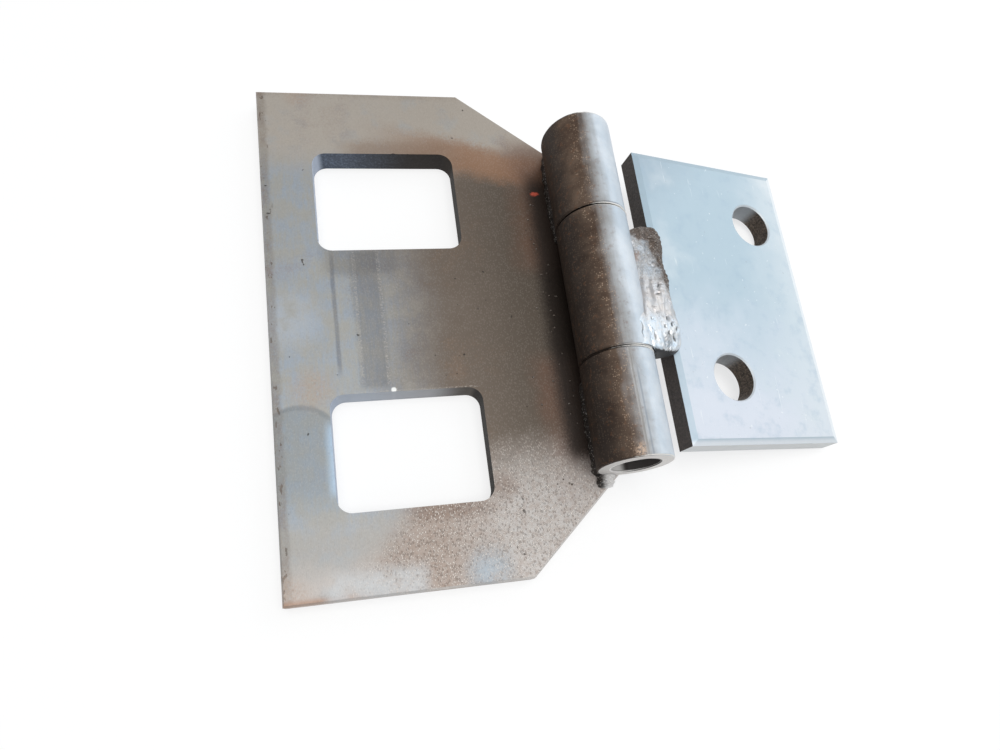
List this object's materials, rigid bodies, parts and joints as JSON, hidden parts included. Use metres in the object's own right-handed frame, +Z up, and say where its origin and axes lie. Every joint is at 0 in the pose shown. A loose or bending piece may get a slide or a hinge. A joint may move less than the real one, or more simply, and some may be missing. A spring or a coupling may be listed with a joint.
{
  "type": "bonnet hinge",
  "caption": "Welded steel bonnet hinge: a large plate leaf with cut corners and rectangular windows, a knuckled tube barrel on a pin, and a small leaf with staggered bolt holes.",
  "frame": {"origin": "centre of the large leaf's underside", "axes": "+X from the large leaf towards the small leaf, +Y along the hinge pin, +Z up from the large leaf's underside to the barrel"},
  "size_m": [0.1612, 0.15, 0.0263],
  "materials": {
    "plate_steel": "raw hot-rolled plate with brown heat tint and light rust",
    "tube_steel": "raw tube, brown and slightly rusted, worn bright on one side",
    "leaf_steel": "raw blue-grey flat bar, lightly scratched",
    "weld_metal": "rippled weld, part bright and part burnt brown",
    "pin_steel": "dark bright-drawn bar"
  },
  "bodies": {
    "body_side": {"body_leaf": "plate_steel", "upper_knuckle": "tube_steel", "lower_knuckle": "tube_steel", "upper_weld": "weld_metal", "lower_weld": "weld_metal", "hinge_pin": "pin_steel"},
    "bonnet_side": {"centre_knuckle": "tube_steel", "bonnet_leaf": "leaf_steel", "centre_weld": "weld_metal"}
  },
  "joints": [
    {"name": "leaf_swing", "type": "hinge", "parent": "body_side", "child": "bonnet_side", "pos_m": [0.0455, 0, 0.0163], "axis": [0, -1, 0], "range_deg": [-60, 194]}
  ]
}
